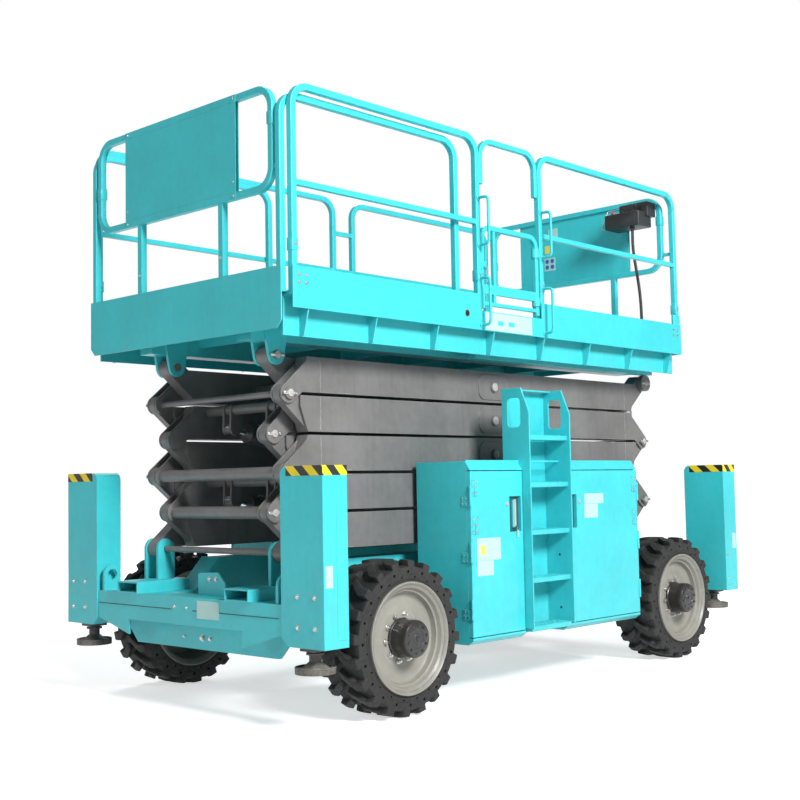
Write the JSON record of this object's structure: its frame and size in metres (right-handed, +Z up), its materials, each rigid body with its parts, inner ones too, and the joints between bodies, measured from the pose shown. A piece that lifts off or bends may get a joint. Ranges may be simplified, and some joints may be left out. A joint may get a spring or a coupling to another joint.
{
  "type": "scissor lift",
  "caption": "Rough terrain scissor lift with a tall scissor stack, roll-out deck, guard rails, outrigger legs, side cabinets and a ladder.",
  "frame": {"origin": "ground level, at the centre of the machine's plan outline", "axes": "+X towards the end with the roll-out deck and the steered wheels, +Y towards the ladder side, +Z up"},
  "size_m": [4.2119, 2.328, 3.38],
  "materials": {
    "turquoise_paint": "gloss",
    "dark_axle_paint": "satin",
    "arm_grey_paint": "satin",
    "cylinder_paint": "satin",
    "rod_chrome": "polished",
    "engine_grey": "matte",
    "leg_dark_paint": "satin",
    "tyre_rubber": "matte",
    "rim_grey_paint": "satin",
    "black_plastic": "matte",
    "cable_rubber": "matte"
  },
  "bodies": {
    "chassis": {"chassis_frame": "turquoise_paint", "front_axle": "dark_axle_paint", "rear_axle": "dark_axle_paint", "outrigger_housings": "turquoise_paint", "cabinet_left": "turquoise_paint", "cabinet_right": "turquoise_paint", "engine_block": "engine_grey", "ladder": "turquoise_paint"},
    "outer_arm_1": {"arm_outer_1": "arm_grey_paint"},
    "inner_arm_1": {"arm_inner_1": "arm_grey_paint"},
    "outer_arm_2": {"arm_outer_2": "arm_grey_paint"},
    "inner_arm_2": {"arm_inner_2": "arm_grey_paint"},
    "outer_arm_3": {"arm_outer_3": "arm_grey_paint"},
    "inner_arm_3": {"arm_inner_3": "arm_grey_paint"},
    "outer_arm_4": {"arm_outer_4": "arm_grey_paint"},
    "inner_arm_4": {"arm_inner_4": "arm_grey_paint"},
    "outer_arm_5": {"arm_outer_5": "arm_grey_paint"},
    "inner_arm_5": {"arm_inner_5": "arm_grey_paint"},
    "barrels_lower": {"lift_barrels_lower": "cylinder_paint"},
    "rods_lower": {"lift_rods_lower": "rod_chrome"},
    "barrels_upper": {"lift_barrels_upper": "cylinder_paint"},
    "rods_upper": {"lift_rods_upper": "rod_chrome"},
    "platform": {"platform_deck": "turquoise_paint", "toe_boards": "turquoise_paint", "guard_rail_left": "turquoise_paint", "guard_rail_right": "turquoise_paint", "rear_rail": "turquoise_paint", "control_box": "black_plastic", "control_cable": "cable_rubber"},
    "extension": {"extension_deck": "turquoise_paint", "extension_rails": "turquoise_paint"},
    "gate": {"gate": "turquoise_paint"},
    "door_front_left": {"door_front_left": "turquoise_paint"},
    "leg_front_left": {"outrigger_leg_front_left": "leg_dark_paint"},
    "door_front_right": {"door_front_right": "turquoise_paint"},
    "leg_front_right": {"outrigger_leg_front_right": "leg_dark_paint"},
    "door_rear_left": {"door_rear_left": "turquoise_paint"},
    "leg_rear_left": {"outrigger_leg_rear_left": "leg_dark_paint"},
    "door_rear_right": {"door_rear_right": "turquoise_paint"},
    "leg_rear_right": {"outrigger_leg_rear_right": "leg_dark_paint"},
    "knuckle_left": {"knuckle_left": "dark_axle_paint"},
    "knuckle_right": {"knuckle_right": "dark_axle_paint"},
    "front_left_wheel": {"tyre_front_left": "tyre_rubber", "wheel_front_left": "rim_grey_paint"},
    "front_right_wheel": {"tyre_front_right": "tyre_rubber", "wheel_front_right": "rim_grey_paint"},
    "rear_left_wheel": {"tyre_rear_left": "tyre_rubber", "wheel_rear_left": "rim_grey_paint"},
    "rear_right_wheel": {"tyre_rear_right": "tyre_rubber", "wheel_rear_right": "rim_grey_paint"}
  },
  "joints": [
    {"name": "lift", "type": "hinge", "parent": "chassis", "child": "outer_arm_1", "pos_m": [1.82, 0, 0.884], "axis": [0, 1, 0], "range_deg": [0, 50]},
    {"name": "centre_pin_1", "type": "hinge", "parent": "outer_arm_1", "child": "inner_arm_1", "pos_m": [0.055, 0, 0.99275], "axis": [0, 1, 0], "range_deg": [-100.5, 0.5]},
    {"name": "end_pin_1", "type": "hinge", "parent": "outer_arm_1", "child": "outer_arm_2", "pos_m": [-1.71, 0, 1.1015], "axis": [0, 1, 0], "range_deg": [-100.5, 0.5]},
    {"name": "centre_pin_2", "type": "hinge", "parent": "outer_arm_2", "child": "inner_arm_2", "pos_m": [0.055, 0, 1.21025], "axis": [0, 1, 0], "range_deg": [-0.5, 100.5]},
    {"name": "end_pin_2", "type": "hinge", "parent": "outer_arm_2", "child": "outer_arm_3", "pos_m": [1.82, 0, 1.319], "axis": [0, 1, 0], "range_deg": [-0.5, 100.5]},
    {"name": "centre_pin_3", "type": "hinge", "parent": "outer_arm_3", "child": "inner_arm_3", "pos_m": [0.055, 0, 1.42775], "axis": [0, 1, 0], "range_deg": [-100.5, 0.5]},
    {"name": "end_pin_3", "type": "hinge", "parent": "outer_arm_3", "child": "outer_arm_4", "pos_m": [-1.71, 0, 1.5365], "axis": [0, 1, 0], "range_deg": [-100.5, 0.5]},
    {"name": "centre_pin_4", "type": "hinge", "parent": "outer_arm_4", "child": "inner_arm_4", "pos_m": [0.055, 0, 1.64525], "axis": [0, 1, 0], "range_deg": [-0.5, 100.5]},
    {"name": "end_pin_4", "type": "hinge", "parent": "outer_arm_4", "child": "outer_arm_5", "pos_m": [1.82, 0, 1.754], "axis": [0, 1, 0], "range_deg": [-0.5, 100.5]},
    {"name": "centre_pin_5", "type": "hinge", "parent": "outer_arm_5", "child": "inner_arm_5", "pos_m": [0.055, 0, 1.86275], "axis": [0, 1, 0], "range_deg": [-100.5, 0.5]},
    {"name": "platform_pin", "type": "hinge", "parent": "inner_arm_5", "child": "platform", "pos_m": [1.82, 0, 1.9715], "axis": [0, 1, 0], "range_deg": [-0.5, 50.5]},
    {"name": "barrel_pin_lower", "type": "hinge", "parent": "inner_arm_1", "child": "barrels_lower", "pos_m": [0.585, 0, 0.94275], "axis": [0, 1, 0], "range_deg": [-4.3, 0.3]},
    {"name": "rod_slide_lower", "type": "slide", "parent": "barrels_lower", "child": "rods_lower", "axis": [0.9747, 0, 0.2236], "range_m": [-0.002, 0.4114]},
    {"name": "barrel_pin_upper", "type": "hinge", "parent": "inner_arm_3", "child": "barrels_upper", "pos_m": [0.585, 0, 1.37775], "axis": [0, 1, 0], "range_deg": [-4.3, 0.3]},
    {"name": "rod_slide_upper", "type": "slide", "parent": "barrels_upper", "child": "rods_upper", "axis": [0.9747, 0, 0.2236], "range_m": [-0.002, 0.4114]},
    {"name": "extension_slide", "type": "slide", "parent": "platform", "child": "extension", "axis": [1, 0, 0], "range_m": [0, 1.2]},
    {"name": "gate_hinge", "type": "hinge", "parent": "platform", "child": "gate", "pos_m": [-0.058, 0.9027, 2.31], "axis": [0, 0, 1], "range_deg": [-90, 0]},
    {"name": "door_hinge_front_left", "type": "hinge", "parent": "chassis", "child": "door_front_left", "pos_m": [0.85, 1.08, 0.36], "axis": [0, 0, -1], "range_deg": [0, 100]},
    {"name": "door_hinge_rear_left", "type": "hinge", "parent": "chassis", "child": "door_rear_left", "pos_m": [-0.89, 1.08, 0.36], "axis": [0, 0, 1], "range_deg": [0, 100]},
    {"name": "door_hinge_front_right", "type": "hinge", "parent": "chassis", "child": "door_front_right", "pos_m": [0.85, -1.08, 0.36], "axis": [0, 0, 1], "range_deg": [0, 100]},
    {"name": "door_hinge_rear_right", "type": "hinge", "parent": "chassis", "child": "door_rear_right", "pos_m": [-0.89, -1.08, 0.36], "axis": [0, 0, -1], "range_deg": [0, 100]},
    {"name": "outrigger_front_left", "type": "slide", "parent": "chassis", "child": "leg_front_left", "axis": [0, 0, -1], "range_m": [0, 0.45]},
    {"name": "outrigger_front_right", "type": "slide", "parent": "chassis", "child": "leg_front_right", "axis": [0, 0, -1], "range_m": [0, 0.45]},
    {"name": "outrigger_rear_left", "type": "slide", "parent": "chassis", "child": "leg_rear_left", "axis": [0, 0, -1], "range_m": [0, 0.45]},
    {"name": "outrigger_rear_right", "type": "slide", "parent": "chassis", "child": "leg_rear_right", "axis": [0, 0, -1], "range_m": [0, 0.45]},
    {"name": "steer_left", "type": "hinge", "parent": "chassis", "child": "knuckle_left", "pos_m": [1.3975, 0.83, 0.42], "axis": [0, 0, 1], "range_deg": [-32, 32]},
    {"name": "steer_right", "type": "hinge", "parent": "chassis", "child": "knuckle_right", "pos_m": [1.3975, -0.83, 0.42], "axis": [0, 0, 1], "range_deg": [-32, 32]},
    {"name": "wheel_spin_front_left", "type": "hinge", "parent": "knuckle_left", "child": "front_left_wheel", "pos_m": [1.3975, 0.944, 0.42], "axis": [0, 1, 0], "continuous": true},
    {"name": "wheel_spin_front_right", "type": "hinge", "parent": "knuckle_right", "child": "front_right_wheel", "pos_m": [1.3975, -0.944, 0.42], "axis": [0, 1, 0], "continuous": true},
    {"name": "wheel_spin_rear_left", "type": "hinge", "parent": "chassis", "child": "rear_left_wheel", "pos_m": [-1.3975, 0.944, 0.42], "axis": [0, 1, 0], "continuous": true},
    {"name": "wheel_spin_rear_right", "type": "hinge", "parent": "chassis", "child": "rear_right_wheel", "pos_m": [-1.3975, -0.944, 0.42], "axis": [0, 1, 0], "continuous": true}
  ],
  "couplings": [
    {"joint": "centre_pin_1", "follows": "lift", "ratio": -2},
    {"joint": "end_pin_1", "follows": "lift", "ratio": -2},
    {"joint": "centre_pin_2", "follows": "lift", "ratio": 2},
    {"joint": "end_pin_2", "follows": "lift", "ratio": 2},
    {"joint": "centre_pin_3", "follows": "lift", "ratio": -2},
    {"joint": "end_pin_3", "follows": "lift", "ratio": -2},
    {"joint": "centre_pin_4", "follows": "lift", "ratio": 2},
    {"joint": "end_pin_4", "follows": "lift", "ratio": 2},
    {"joint": "centre_pin_5", "follows": "lift", "ratio": -2},
    {"joint": "platform_pin", "follows": "lift", "ratio": 1},
    {"joint": "barrel_pin_lower", "follows": "lift", "ratio": -0.079912},
    {"joint": "rod_slide_lower", "follows": "lift", "m_per_rad": 0.4691},
    {"joint": "barrel_pin_upper", "follows": "lift", "ratio": -0.079912},
    {"joint": "rod_slide_upper", "follows": "lift", "m_per_rad": 0.4691},
    {"joint": "steer_right", "follows": "steer_left", "ratio": 1}
  ]
}
